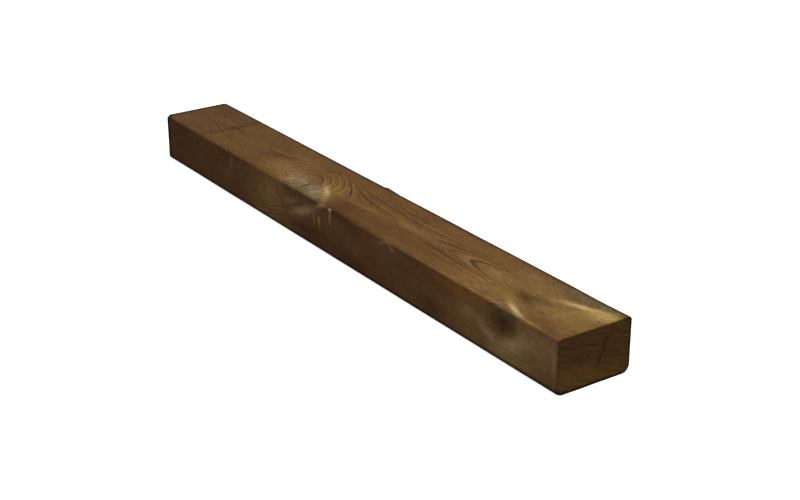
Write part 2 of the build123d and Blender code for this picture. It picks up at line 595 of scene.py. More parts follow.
stretched = add(wood, VECTOR, (fibre, (0.2, 1, 1)), "MULTIPLY")
wander = add(wood, NOISE, {"Vector": stretched, "Scale": 1 / WANDER_LENGTH, "Detail": 3.0})
drift = add(wood, RANGE, (wander, 0.0, 1.0, -RING_WANDER, RING_WANDER))
years = add(wood, MATH, (age, drift), "ADD")
for knot, share in zip(KNOTS.values(), shares):
    own = add(wood, MATH, (share, knot["radius"] * knot["fine"]), "MULTIPLY")
    inside = add(wood, MATH, (share, 1.0), "LESS_THAN")
    years = add(wood, MIX, (inside, years, own), data_type="FLOAT")
count = add(wood, MATH, (years, RING), "DIVIDE")
season = add(wood, MATH, (count,), "FRACT")
number = add(wood, MATH, (count,), "FLOOR")
rise = add(wood, RANGE, (season, *SUMMER, 0.0, 1.0), interpolation_type="SMOOTHSTEP")
fall = add(wood, RANGE, (season, *WINTER, 1.0, 0.0), interpolation_type="SMOOTHSTEP")
band = add(wood, MATH, (rise, fall), "MULTIPLY")
lottery = add(wood, "ShaderNodeTexWhiteNoise", (number,), noise_dimensions="1D")
weight = add(wood, RANGE, (lottery.outputs["Value"], 0.0, 1.0, WEAKEST_YEAR, 1.0))
late = add(wood, MATH, (band, weight), "MULTIPLY")
off_spell = add(wood, MATH, (season, DRY_SPELL), "SUBTRACT")
off_spell = add(wood, MATH, (off_spell,), "ABSOLUTE")
false_ring = add(
    wood, RANGE, (off_spell, 0.0, SPELL_REACH, SPELL_STRENGTH, 0.0), interpolation_type="SMOOTHSTEP"
)
late = add(wood, MATH, (late, false_ring), "MAXIMUM")
print(f"rings {RING} mm apart that wander by up to {RING_WANDER} mm")

# %% [markdown]
# The fibres are the wood's cells, a few hundredths of a millimetre wide and a few millimetres long,
# which lie in bundles along the stem. They are far too fine to show here, so the bundles are drawn,
# and coarser than they are: short flecks and long streaks one to three millimetres wide. On the
# sawn ends the same noise is cut across, and turns to specks by itself.

# %% Fibre bundles
# How many flecks and threads there are to a millimetre, along the fibres and across them.
FLECKS = (0.14, 0.75, 0.75)
THREADS = (0.012, 0.55, 0.55)
MOTTLE_LENGTH = 6.0

drawn_out = add(wood, VECTOR, (fibre, FLECKS), "MULTIPLY")
flecks = add(wood, NOISE, {"Vector": drawn_out, "Scale": 1.0, "Detail": 3.0, "Roughness": 0.6})
drawn_out = add(wood, VECTOR, (fibre, THREADS), "MULTIPLY")
threads = add(wood, NOISE, {"Vector": drawn_out, "Scale": 1.0, "Detail": 4.0, "Roughness": 0.6})
drawn_out = add(wood, VECTOR, (place, (0.5, 1, 1)), "MULTIPLY")
mottle = add(wood, NOISE, {
    "Vector": drawn_out, "Scale": 1 / MOTTLE_LENGTH, "Detail": 5.0, "Roughness": 0.65,
})
print(f"flecks {1 / FLECKS[0]:.0f} mm long and threads {1 / THREADS[0]:.0f} mm long")

# %% [markdown]
# The saw crossed the ends a little off level and left fine parallel scores in them.

# %% Saw scores on the ends
SAW_SLOPE = 18.0
# How many scores there are to a millimetre, along the saw's stroke and across it.
SCORES = (0, 0.03, 0.4)

levelled = add(
    wood, "ShaderNodeVectorRotate", {"Vector": place, "Angle": math.radians(SAW_SLOPE)},
    rotation_type="X_AXIS",
)
drawn_out = add(wood, VECTOR, (levelled, SCORES), "MULTIPLY")
scores = add(wood, NOISE, {"Vector": drawn_out, "Scale": 1.0, "Detail": 3.0, "Roughness": 0.55})
print(f"saw scores {1 / SCORES[2]} mm wide, at {SAW_SLOPE} degrees to the level")

# %% [markdown]
# The stock lay in a stack while it dried, and each face took the preservative in its own way. So the
# base colour is blotched, and each face has a tone of its own.

# %% Which face a place is on
# How deep below each face its own tone has ended, and how deep it is still full.
TOP_DEPTH = (1.8, 0.3)
FRONT_DEPTH = (1.3, 0.2)
END_DEPTH = (0.7, 0.2)

split = add(wood, "ShaderNodeSeparateXYZ", (place,)).outputs
from_top = [THICKNESS - depth for depth in TOP_DEPTH]
on_top_face = add(wood, RANGE, (split["Z"], *from_top, 0.0, 1.0))
from_front = [depth - WIDTH / 2 for depth in FRONT_DEPTH]
on_front_face = add(wood, RANGE, (split["Y"], *from_front, 0.0, 1.0))
from_middle = add(wood, MATH, (split["X"],), "ABSOLUTE")
from_end = [LENGTH / 2 - depth for depth in END_DEPTH]
on_end_face = add(wood, RANGE, (from_middle, *from_end, 0.0, 1.0))
print(f"the top face's tone ends {TOP_DEPTH[0]} mm down")

# %% Base colour and tone of each face
BLOTCH_LENGTH = 22.0
TOP_COLOURS = ("#64482b", "#72542e")
FRONT_COLOURS = ("#62432b", "#6f4f31")
END_COLOUR = "#69492a"

drawn_out = add(wood, VECTOR, (place, (0.4, 1, 1)), "MULTIPLY")
blotches = add(wood, NOISE, {"Vector": drawn_out, "Scale": 1 / BLOTCH_LENGTH, "Detail": 4.0})
tone_share = add(wood, RANGE, (blotches, *NOISE_NARROW, 0.0, 1.0))
dark, pale = [linear(code) for code in TOP_COLOURS]
colour = add(wood, MIX, (tone_share, dark, pale), data_type="RGBA")
dark, pale = [linear(code) for code in FRONT_COLOURS]
front_tone = add(wood, MIX, (tone_share, dark, pale), data_type="RGBA")
colour = add(wood, MIX, (on_front_face, colour, front_tone), data_type="RGBA")
colour = add(wood, MIX, (on_end_face, colour, linear(END_COLOUR)), data_type="RGBA")
print(f"blotches {BLOTCH_LENGTH} mm across, and longer along the grain")

# %% [markdown]
# A knot is denser than the stem round it, and the branch was often dead when the stem closed over
# it, so it has a colour of its own and a dark rind of bark and resin.

# %% Knots
RIND_COLOUR = "#38230f"
RIND_WIDTH = 0.08


def with_knot(colour, knot, share):
    """The colour with a knot's wood and rind laid over it."""
    inside = add(wood, RANGE, (share, *knot["edge"], knot["strength"], 0.0))
    colour = add(wood, MIX, (inside, colour, linear(knot["wood"])), data_type="RGBA")
    off_edge = add(wood, MATH, (share, 1.0), "SUBTRACT")
    off_edge = add(wood, MATH, (off_edge,), "ABSOLUTE")
    rind = add(
        wood, RANGE, (off_edge, 0.0, RIND_WIDTH, knot["rind"], 0.0), interpolation_type="SMOOTHSTEP"
    )
    return add(wood, MIX, (rind, colour, linear(RIND_COLOUR)), data_type="RGBA")


knot_shares = dict(zip(KNOTS, shares))
colour = with_knot(colour, KNOTS["arris knot"], knot_shares["arris knot"])
colour = with_knot(colour, KNOTS["back knot"], knot_shares["back knot"])
print(f"two of the {len(KNOTS)} knots coloured, and the round one comes after the marks")

# %% [markdown]
# Then come the marks: pale wood where the fibres turn out of the face beside a knot, rubbed places,
# stains, the dark line where a spacer lay across it in the stack, and some painted light: a painted
# gold sheen beside two knots, painted highlights along the arrises towards the near end, and a strip
# of painted shade at the near end's front arris. Each mark fades like a stain does, and noise pulls
# its outline about. It counts on its own face only, so that it doesn't show through on the next one.

# %% Marks
# A mark reaches this deep into the wood, so that relief and worn arrises don't cut it off.
DEEP = 60.0
# Each mark has a place on its face, its half lengths, its turn, its colour and its strength.
TOP_MARKS = [
    # Far end and the spacer's line.
    ((20, 66), (24, 13), 0, "#6b573a", 0.3),
    ((58, 58), (18, 10), 0, "#5f4527", 0.5),
    ((28, 17), (20, 9), 0, "#5a3e1c", 0.7),
    ((30, 38), (10, 8), 0, "#5a3f27", 0.4),
    ((81, 40), (4.5, 70), 0, "#52361a", 0.72),
    ((89, 34), (10, 1.8), 0, "#452c14", 0.7),
    ((80, 36), (3.5, 4), 0, "#452c14", 0.6),
    # Stains and rubbed places before the big knot.
    ((172, 8), (4, 14), 0, "#5a3f22", 0.5),
    ((204, 30.5), (10, 1.8), 0, "#43290f", 0.85),
    ((171, 50), (5, 3.5), 0, "#553817", 0.6),
    ((176, 41), (8.5, 2), 52, "#583a1a", 0.65),
    ((222, 28), (36, 15), 0, "#80623d", 0.55),
    ((190, 44), (14, 7), 0, "#644824", 0.5),
    ((201, 58), (10, 8), 0, "#6c4a2a", 0.3),
    # A redder strip towards the back, and the knot in the top front arris with pale wood round it and
    # a painted gold sheen on its near side.
    ((288, 16), (62, 6), 0, "#6c4a26", 0.5),
    ((226, 55), (34, 15), 0, "#8c6c42", 0.8),
    ((258, 46), (15, 4.5), 0, "#7d5a3c", 0.7),
    ((294, 38), (30, 13), -25, "#8c693d", 0.7),
    ((254, 55), (9, 4.5), 0, "#8c735a", 0.6),
    ((264, 62), (18, 11), 0, "#87755a", 0.9),
    ((293, 67), (22, 9), -20, "#86785a", 0.9),
    ((247, 62), (7, 8), 0, "#a88c62", 0.6),
    ((264, 58), (9, 3), -12, "#988c6c", 0.45),
    ((292, 66), (13, 3), -26, "#9c9070", 0.45),
    ((273, 61.5), (1.8, 6), -8, "#4c3f26", 0.6),
    ((295, 60), (12, 3), -27, "#a98c6e", 0.6),
    ((308, 52), (14, 7), -25, "#92723a", 0.6),
    # Painted sheen: these two bright gold streaks stand for light glinting off the fibres beside the
    # knot.
    ((300, 55), (17, 3.3), -31, "#d0b67e", 0.97),
    ((316, 68), (8, 3), -38, "#b89a66", 0.7),
    # The dark stretch past the knot.
    ((386, 60), (66, 13), 0, "#5b3f1f", 0.82),
    ((340, 65), (22, 12), 0, "#533319", 0.75),
    ((368, 75), (48, 4.5), 0, "#4c2d1a", 0.8),
    ((349, 75.5), (16, 3), 0, "#341a0c", 0.75),
    ((352, 46.5), (24, 1.6), 5, "#8a6840", 0.6),
    # Towards the near end, with painted highlights along the top front arris and above the round
    # knot, and a painted gold sheen by the back knot.
    ((430, 39), (50, 6), 0, "#7d5e38", 0.6),
    ((430, 58), (34, 10), 0, "#5e4220", 0.5),
    ((540, 38), (42, 8), 0, "#866a3e", 0.7),
    ((519, 60), (15, 7), 0, "#6c4820", 0.35),
    # Painted highlight: a thin pale line along the top front arris.
    ((545, 74.2), (44, 1.3), 0, "#9c8058", 0.6),
    ((556, 60), (30, 12), 0, "#84663c", 0.75),
    ((580, 23), (36, 16), 0, "#7c623c", 0.7),
    ((638, 42), (36, 15), 0, "#896e3e", 0.8),
    # Painted sheen: the bright gold band by the back knot stands for light glinting off the fibres.
    ((636, 22), (20, 3.4), 20, "#c6ac76", 0.92),
    ((658, 20), (17, 9), 14, "#b2985e", 0.85),
    ((636, 8), (34, 6.5), 8, "#66593f", 0.85),
    ((596, 62), (26, 6), -20, "#8a6e34", 0.65),
    ((589, 72.5), (10, 2), 0, "#94765a", 0.5),
    # Painted highlight: the pale streak above the round knot, where it crosses the arris.
    ((608.5, 69.6), (14, 2.7), -19, "#c4ac7e", 0.95),
    # Painted highlight: a thin pale line along the top front arris.
    ((631, 74), (13, 1.4), 0, "#ac8f60", 0.6),
    ((611.5, 66), (8, 0.9), -29, "#4e3618", 0.6),
    ((602, 43), (20, 5.5), 4, "#56401f", 0.75),
    ((596, 48.5), (13, 5), -26, "#432e12", 0.85),
]
FRONT_MARKS = [
    # Towards the far end, with two small drips.
    ((80, 38), (24, 7), 0, "#54382a", 0.35),
    ((145, 14), (3.5, 5), 20, "#8c7050", 0.8),
    ((139, 26), (4, 4.5), 20, "#8a6c50", 0.6),
    ((132, 25), (18, 9), 0, "#7b5b3c", 0.6),
    # Beside the knot on the top front arris.
    ((185, 24), (30, 26), 0, "#745238", 0.5),
    ((222, 26), (34, 27), 0, "#937349", 0.88),
    ((212, 42), (20, 8), 0, "#80693f", 0.6),
    ((228, 22), (12, 12), 0, "#94744a", 0.5),
    ((246, 4), (9, 6), 0, "#94763f", 0.6),
    ((277, 4.5), (28, 8), 3, "#665137", 0.9),
    ((265, 16), (14, 3.4), 14, "#927254", 0.8),
    ((285, 36), (30, 6), 0, "#4c3322", 0.7),
    ((288, 18.5), (22, 4.8), 22, "#b08c66", 0.95),
    ((275, 16.5), (13, 1.2), 24, "#4a3420", 0.5),
    # Under the arris past the knot, with its drips.
    ((322, 2.5), (9, 2.2), 22, "#bb9c6a", 0.9),
    ((352, 1.5), (18, 2.2), 0, "#452413", 0.7),
    ((328, 9), (3, 7), 0, "#7a4632", 0.5),
    ((308, 21), (1.5, 5), -4, "#a08060", 0.7),
    ((317, 20), (1.7, 5.5), 0, "#b0906c", 0.85),
    ((337, 10), (1.8, 5.5), 0, "#b0906c", 0.85),
    ((337, 2.5), (2.4, 1.8), 0, "#dcbfa6", 0.95),
    # The long dark stretch, with a curved pale scrape at its top.
    ((380, 24), (22, 5), -8, "#75553c", 0.4),
    ((404, 13), (22, 8), 0, "#775136", 0.5),
    ((426, 4.2), (8, 1.6), 19, "#96775a", 0.75),
    ((438, 5), (6, 1.9), -27, "#9c7c60", 0.8),
    ((368, 42), (44, 9), 0, "#4c3120", 0.65),
    ((505, 39), (24, 10), 0, "#4b3120", 0.7),
    # Beside the round knot.
    ((554, 28), (38, 22), 0, "#87643d", 0.82),
    ((548, 5), (40, 7), 0, "#8a5e30", 0.8),
    ((552, 22), (11, 6), 0, "#9a7852", 0.6),
    ((640, 19), (40, 30), 0, "#967450", 0.86),
    ((574, 19), (3, 10), 0, "#8a6a4a", 0.6),
    ((581, 31), (14, 4.5), -24, "#ab8868", 0.85),
    ((613, 29), (22, 7), 28, "#b0946a", 0.9),
    ((631, 36), (10, 6), 0, "#756440", 0.6),
    ((602, 42), (26, 8), 0, "#967a50", 0.75),
    ((630, 2), (12, 3), 0, "#a67c3c", 0.6),
    # The near end, with a painted highlight and a dark strip of painted shade at its arris.
    ((655, 12), (9, 6), 0, "#94704e", 0.5),
    ((660, 42), (20, 13), 0, "#6d4d30", 0.6),
    # Painted highlight: a pale strip on the front just before its near arris.
    ((664.5, 20), (3, 20), 0, "#a07c56", 0.55),
    # Painted shade: the dark strip makes the front's last millimetres look like the shaded end face.
    ((671, 26), (2.6, 60), 0, "#43301a", 0.95),
]
END_MARKS = [
    ((35, 45), (52, 13), -14, "#805f30", 0.9),
    ((12, 38), (10, 8), -15, "#87683a", 0.5),
    ((8, 9), (12, 3.5), -15, "#5c3b34", 0.5),
    ((15, 24), (8, 6), -15, "#543c1c", 0.45),
    ((62, 17), (14, 16), 0, "#66502c", 0.6),
    # Darker along the check.
    ((48.5, 12.5), (3, 1.3), 15, "#48260f", 0.7),
    ((46.5, 20), (1.8, 3), 0, "#4a300f", 0.6),
    ((42, 28.5), (1.8, 3.5), -15, "#4e2c18", 0.6),
]
print(f"{len(TOP_MARKS)} marks on top, {len(FRONT_MARKS)} in front, {len(END_MARKS)} on the end")

# %% [markdown]
# Each mark is then drawn as a soft spot, turned on its face, and mixed into the colour in the order
# of the lists, so that the later ones lie on top.

# %% Draw the marks
# Noise between -0.5 and 0.5, times this and its smaller half length, pulls a mark's outline about.
STRAY = 1.2
STRAY_LENGTH = 14.0
FACES = [
    (on_top_face, on_top, (0, 0, 1), (ALONG, ACROSS), TOP_MARKS),
    (on_front_face, on_front, (0, -1, 0), (ALONG, UP), FRONT_MARKS),
    (on_end_face, on_near_end, (1, 0, 0), (ACROSS, UP), END_MARKS),
]

stray = add(wood, NOISE, {"Vector": place, "Scale": 1 / STRAY_LENGTH, "Detail": 3.0})
centred = add(wood, VECTOR, (stray.outputs["Color"], (0.5, 0.5, 0.5)), "SUBTRACT")
for on_face, where, outward, (first, second), marks in FACES:
    for at, half, turn, code, strength in marks:
        centre = where(*at)
        reach = Vector((DEEP, DEEP, DEEP))
        reach[first], reach[second] = half
        pull = [min(half) * STRAY] * 3
        pulled = add(wood, VECTOR, (centred, pull, place), "MULTIPLY_ADD")
        turned = add(wood, "ShaderNodeVectorRotate", {
            "Vector": pulled, "Center": centre, "Axis": outward, "Angle": -math.radians(turn),
        })
        spot = soft_spot(wood, turned, centre, reach)
        here = add(wood, MATH, (on_face, strength), "MULTIPLY")
        share = add(wood, MATH, (spot, here), "MULTIPLY")
        colour = add(wood, MIX, (share, colour, linear(code)), data_type="RGBA")
print(f"{len(wood.nodes)} nodes with the marks drawn")

# %% [markdown]
# The round knot lies over its marks, because it is a dead branch with a clear edge: a paler sleeve
# round a dark heart, with a painted grey sheen near the arris and the darkest wood at the pith.

# %% The round knot
KNOT_EYE = on_front(599, 12.4)
KNOT_TURN = 12
HEART_REACH = (16.5, 25, 10.2)
HEART_COLOUR = "#62492e"
# The soft spot's values at which the heart's edge begins and is full, and how strong it is then.
HEART_EDGE = (0.28, 0.46)
HEART_STRENGTH = 0.9
RAGGED = (2.5, 2.5, 2.5)
HEART_SHEEN_AND_PITH = [
    # Painted sheen: the first is a grey sheen of light on the knot. The second is the darker wood at
    # the pith.
    (on_front(606, 6), (9, 25, 3.2), "#736c4c", 0.5),
    (on_front(599, 14), (9, 25, 6), "#452d16", 0.6),
]

colour = with_knot(colour, KNOTS["round knot"], knot_shares["round knot"])
ragged = add(wood, VECTOR, (centred, RAGGED, place), "MULTIPLY_ADD")
tipped = add(wood, "ShaderNodeVectorRotate", {
    "Vector": ragged, "Center": KNOT_EYE, "Axis": (0, -1, 0), "Angle": -math.radians(KNOT_TURN),
})
spot = soft_spot(wood, tipped, KNOT_EYE, HEART_REACH)
heart = add(wood, RANGE, (spot, *HEART_EDGE, 0.0, HEART_STRENGTH))
colour = add(wood, MIX, (heart, colour, linear(HEART_COLOUR)), data_type="RGBA")
for centre, reach, code, strength in HEART_SHEEN_AND_PITH:
    spot = soft_spot(wood, tipped, centre, reach)
    share = add(wood, MATH, (spot, strength), "MULTIPLY")
    colour = add(wood, MIX, (share, colour, linear(code)), data_type="RGBA")
print(f"a dark heart {2 * HEART_REACH[0]:.0f} mm long in the round knot")

# %% [markdown]
# The rings show most where the planer's knives met them at a slant, beside the knots and along the
# middle of the top. Elsewhere dust and preservative cover them, most of all on the front edge. The
# summer bands are darker and the wood just after them is the palest of the year.

# %% How strongly the rings show
# How clear the rings are where nothing helps, and their share of that on the sawn ends.
VEILED = 0.16
END_CLEAR = 0.4
SUMMER_COLOUR = "#9a7a34"
# The palest wood's extra light, which is gone at this part of the year.
SPRING_LIGHT = 0.16
SPRING_END = 0.4
# Each clear place has its reach and what it adds. The two below nothing veil the rings instead.
CLEAR_PLACES = [
    (on_top(288, 31), (34, 20, 20), 1.0),
    (on_top(263, 30), (20, 12, 20), 0.8),
    (on_top(380, 28), (80, 13, 20), 1.1),
    (on_top(424, 39), (30, 6, 20), -1.2),
    (on_top(552, 38), (27, 6, 20), -1.3),
    (on_top(508, 38), (76, 19, 20), 1.1),
    (on_top(190, 36), (30, 12, 20), 0.7),
    (on_top(38, 22), (36, 13, 20), 0.6),
    (on_front(228, 40), (24, 20, 9), 1.0),
    (on_front(596, 14), (20, 14, 14), 0.5),
]

clear = VEILED
for centre, reach, strength in CLEAR_PLACES:
    spot = soft_spot(wood, place, centre, reach)
    clear = add(wood, MATH, (spot, strength, clear), "MULTIPLY_ADD")
clear = add(wood, "ShaderNodeClamp", (clear, 0.0, 1.0))
on_ends = add(wood, RANGE, (on_end_face, 0.0, 1.0, 1.0, END_CLEAR))
clear = add(wood, MATH, (clear, on_ends), "MULTIPLY")
ring_tone = add(wood, MATH, (late, clear), "MULTIPLY")
band_tint = add(wood, MIX, (ring_tone, linear("#ffffff"), linear(SUMMER_COLOUR)), data_type="RGBA")
colour = add(wood, MIX, (1.0, colour, band_tint), data_type="RGBA", blend_type="MULTIPLY")
spring = add(wood, RANGE, (season, 0.0, SPRING_END, SPRING_LIGHT, 0.0))
spring_light = add(wood, MATH, (spring, clear, 1.0), "MULTIPLY_ADD")
print(f"rings clear at {len(CLEAR_PLACES)} places, and {VEILED:.0%} clear elsewhere")

# %% [markdown]
# The preservative's green and brown parts dry out unevenly, so the hue drifts a little.

# %% Drift of the hue
HUE_LENGTH = 16.0
HUES = ("#fff8f4", "#f8faee")

hue_noise = add(wood, NOISE, {"Vector": place, "Scale": 1 / HUE_LENGTH, "Detail": 3.0})
hue_share = add(wood, RANGE, (hue_noise, *NOISE_NARROW, 0.0, 1.0))
brown, green = [linear(code) for code in HUES]
tint = add(wood, MIX, (hue_share, brown, green), data_type="RGBA")
colour = add(wood, MIX, (1.0, colour, tint), data_type="RGBA", blend_type="MULTIPLY")
print(f"the hue drifts over about {HUE_LENGTH} mm")

# %% [markdown]
# The fibre bundles and the saw scores lighten and darken the colour. Dust and preservative lie
# thicker on the front edge and the ends, so the bundles show about half as much there.

# %% Grain of the surface
# Each noise with how much it lightens or darkens, and the share of that on the front and the ends.
GRAIN = ((flecks, 0.27), (threads, 0.11), (mottle, 0.1))
CALM = 0.55
SCORE_LEVELS = (0.76, 1.24)

calm = add(wood, MATH, (on_front_face, on_end_face), "MAXIMUM")
shade = spring_light
for noise, strength in GRAIN:
    strong = add(wood, RANGE, (calm, 0.0, 1.0, strength, strength * CALM))
    contrast = add(wood, RANGE, (noise, *NOISE_SPAN, -1.0, 1.0))
    part = add(wood, MATH, (contrast, strong, 1.0), "MULTIPLY_ADD")
    shade = add(wood, MATH, (shade, part), "MULTIPLY")
scored = add(wood, RANGE, (scores, *NOISE_SPAN, *SCORE_LEVELS))
scored = add(wood, MIX, (on_end_face, 1.0, scored), data_type="FLOAT")
shade = add(wood, MATH, (shade, scored), "MULTIPLY")
print(f"{len(GRAIN)} noises of the grain, and the saw scores")

# %% [markdown]
# The arrises get painted shade as well, and for that the colour has to know how near they are. On a
# face, the distance to the nearest arris is the second smallest of the three distances to the block's
# sides.

# %% Distance to the nearest arris
to_end = add(wood, MATH, (LENGTH / 2, from_middle), "SUBTRACT")
off_side = add(wood, MATH, (split["Y"],), "ABSOLUTE")
to_side = add(wood, MATH, (WIDTH / 2, off_side), "SUBTRACT")
off_level = add(wood, MATH, (split["Z"], THICKNESS / 2), "SUBTRACT")
off_level = add(wood, MATH, (off_level,), "ABSOLUTE")
to_level = add(wood, MATH, (THICKNESS / 2, off_level), "SUBTRACT")
lesser = add(wood, MATH, (to_side, to_level), "MINIMUM")
greater = add(wood, MATH, (to_side, to_level), "MAXIMUM")
middle = add(wood, MATH, (greater, to_end), "MINIMUM")
to_arris = add(wood, MATH, (middle, lesser), "MAXIMUM")
print(f"the middle of the top face is {WIDTH / 2:.1f} mm from an arris")

# %% [markdown]
# The arrises are painted darker than the faces: painted shade where the rounded arrises turn away
# from the light, and a painted contact shadow along the bottom, most of all along the back, the
# bottom and the far end. Noise makes the inner edge of the painted shade ragged, because a straight
# one would look like a painted stripe.

# %% Painted shade on the arrises
# How far from an arris the painted shade is still full and where it ends, on a face and on an end.
EDGE_SHADE_ON_FACE = (4.4, 7.2)
EDGE_SHADE_ON_END = (1.6, 3.4)
EDGE_SHADE_STRAY = 1.1
# The share of the light lost to painted shade at an arris: where it is unshaded, along the back,
# along the bottom in front and at the back, and at the far end.
UNSHADED = 0.05
BACK_EDGE_SHADE = 0.48
BOTTOM_EDGE_SHADE = (0.8, 0.4)
FAR_END_SHADE = 0.65
# Where each starts and is full, from the back, and where it is full and ends, from the bottom and
# from the far end.
FROM_BACK = (10.5, 5.5)
BOTTOM_FROM_BACK = (11.5, 4.5)
FROM_BOTTOM = (2.8, 5.4)
FROM_FAR_END = (6.0, 10.0)

# Painted shade: the colour is darkened towards the arrises, most of all at the back, the bottom and
# the far end.
edge_shade_start = add(wood, RANGE, (on_end_face, 0.0, 1.0, EDGE_SHADE_ON_FACE[0], EDGE_SHADE_ON_END[0]))
edge_shade_reach = add(wood, RANGE, (on_end_face, 0.0, 1.0, EDGE_SHADE_ON_FACE[1], EDGE_SHADE_ON_END[1]))
ragged_edge = add(wood, RANGE, (mottle, *NOISE_WIDE, -EDGE_SHADE_STRAY, EDGE_SHADE_STRAY))
strayed = add(wood, MATH, (to_arris, ragged_edge), "ADD")
edge_shade = add(wood, RANGE, (strayed, edge_shade_start, edge_shade_reach, 1.0, 0.0), interpolation_type="SMOOTHSTEP")
edges = [WIDTH / 2 - distance for distance in FROM_BACK]
at_back = add(wood, RANGE, (split["Y"], *edges, UNSHADED, BACK_EDGE_SHADE))
edges = [WIDTH / 2 - distance for distance in BOTTOM_FROM_BACK]
bottom_edge_shade = add(wood, RANGE, (split["Y"], *edges, *BOTTOM_EDGE_SHADE))
at_bottom = add(wood, RANGE, (split["Z"], *FROM_BOTTOM, bottom_edge_shade, UNSHADED))
edges = [distance - LENGTH / 2 for distance in FROM_FAR_END]
at_far_end = add(wood, RANGE, (split["X"], *edges, FAR_END_SHADE, UNSHADED))
edge_shade_strength = add(wood, MATH, (at_back, at_bottom), "MAXIMUM")
edge_shade_strength = add(wood, MATH, (edge_shade_strength, at_far_end), "MAXIMUM")
painted_edge_shade = add(wood, MATH, (edge_shade, edge_shade_strength), "MULTIPLY")
kept = add(wood, MATH, (1.0, painted_edge_shade), "SUBTRACT")
shade = add(wood, MATH, (shade, kept), "MULTIPLY")
colour = add(wood, VECTOR, (colour.outputs[2], shade), "SCALE")
print(f"the darkest arris loses {max(BOTTOM_EDGE_SHADE):.0%} of its light")

# %% [markdown]
# A wood surface has a typical IOR of about 1.5 and a roughness of 0.6 to 0.8. Dry salts and cut
# fibres scatter what little it reflects, so the specular level is low as well.

# %% Surface of the softwood
# How high, in millimetres, the summer wood, the flecks and the mottle stand.
SUMMER_HEIGHT = 0.08
GRAIN_HEIGHT = 0.4
# The roughness of the spring wood and of the denser summer wood, which the knives polish a little.
ROUGHNESS = (0.8, 0.65)
WOOD_IOR = 1.5
SPECULAR = 0.06

height = add(wood, MATH, (late, SUMMER_HEIGHT), "MULTIPLY")
height = add(wood, MATH, (flecks, GRAIN_HEIGHT, height), "MULTIPLY_ADD")
height = add(wood, MATH, (mottle, GRAIN_HEIGHT, height), "MULTIPLY_ADD")
bump = add(wood, "ShaderNodeBump", {"Height": height, "Distance": MM, "Strength": 1.0})
dull = add(wood, RANGE, (late, 0.0, 1.0, *ROUGHNESS))
finish = add(wood, "ShaderNodeBsdfPrincipled", {
    "Base Color": colour, "Roughness": dull, "Normal": bump, "IOR": WOOD_IOR,
    "Specular IOR Level": SPECULAR,
})
add(wood, "ShaderNodeOutputMaterial", {"Surface": finish})
timber.data.materials.append(softwood)
print(f"{len(wood.nodes)} nodes in the softwood")

# %% [markdown]
# ## Drying checks
# As wood dries it shrinks most around its rings, so it splits along the radius, and across a knot.
# Each check here is a wedge cut out of the timber. Its cutter starts as a triangle at one end of
# the check, which is extruded from place to place and resized on the way, so that the check opens
# from a hairline and closes again. A crack could be painted on, but only a real opening takes a
# shadow from any side. A boolean modifier then takes the wedge away.

# %% Sizes of the wedges
# How far a cutter stands out of the face, its smallest share of its full size, how often it has a
# place, and how far each is astray, as a share of the check's width.
PROUD = 1.0
HAIRLINE = 0.06
STEP = 2.5
ASTRAY = 0.16
# A circle of three corners and radius 1 spans this much along its Y.
TRIANGLE_SPAN = 1.5
chance = random.Random(5)
print(f"a place about every {STEP} mm along a check")

# %% [markdown]
# A crack runs from cell to cell, so its path is broken into short steps, each pushed a little off
# the line by a random amount that is the same on each run.

# %% Path of a check
def finer(path, astray):
    """The places of a path with more between them, each a little astray, as a crack wanders."""
    places = [path[0]]
    for a, b in zip(path, path[1:]):
        count = max(1, round((b - a).length / STEP))
        for number in range(1, count + 1):
            place = a.lerp(b, number / count)
            places.append(place + Vector([chance.uniform(-astray, astray) for axis in range(3)]))
    return places


# %% Cut one check
def cut_check(path, outward, width, depth, lining):
    """Cuts one check into the timber along a path on a face, and lines it with a material."""
    places = finer(path, width * ASTRAY)
    outward = Vector(outward)
    run = (path[-1] - path[0]).normalized()
    side = run.cross(outward)
    last = len(places) - 1
    openings = [max(HAIRLINE, math.sin(math.pi * number / last)) for number in range(last + 1)]
    start_fresh()
    bpy.ops.mesh.primitive_circle_add(vertices=3, radius=1.0, fill_type="NGON")
    cutter = bpy.context.object
    # The triangle's Y points down into the wood. It is as wide as the check at the face, and so
    # wider where it stands proud.
    half = width / 2 * (depth + PROUD) / depth / math.sin(math.radians(60))
    fall = (depth + PROUD) / TRIANGLE_SPAN
    middle = places[0] + outward * openings[0] * (PROUD - fall * 0.5)
    across = side * half * openings[0] * MM
    down = outward * -fall * openings[0] * MM
    turned = Matrix((across, down, run)).transposed().to_4x4()
    cutter.matrix_world = Matrix.Translation(middle * MM) @ turned
    bpy.ops.object.transform_apply(location=True, rotation=True, scale=True)
    bpy.ops.object.mode_set(mode="EDIT")
    bpy.ops.mesh.select_all(action="SELECT")
    for number in range(1, len(places)):
        move = (places[number] - places[number - 1]) * MM
        bpy.ops.mesh.extrude_region_move(TRANSFORM_OT_translate={"value": move})
        size = openings[number] / openings[number - 1]
        bpy.ops.transform.resize(value=(size, size, size), center_override=places[number] * MM)
    bpy.ops.mesh.select_all(action="SELECT")
    bpy.ops.mesh.normals_make_consistent(inside=False)
    bpy.ops.object.mode_set(mode="OBJECT")
    cutter.data.materials.append(lining)
    pick(timber)
    bpy.ops.object.modifier_add(type="BOOLEAN")
    cut = timber.modifiers[-1]
    cut.operation = "DIFFERENCE"
    cut.solver = "MANIFOLD"
    cut.object = cutter
    bpy.ops.object.modifier_apply(modifier=cut.name)
    bpy.data.objects.remove(cutter)
    return len(places)


# %% [markdown]
# The walls of a check are painted dark, as painted shade for the shade inside the crack, and are
# quite matt. The cutter carries this material, and the boolean leaves it on the walls of the cut.

# %% Lining of the checks
# Painted shade: the dark brown of the check walls.
CHECK_SHADE_COLOUR = "#2c1c10"

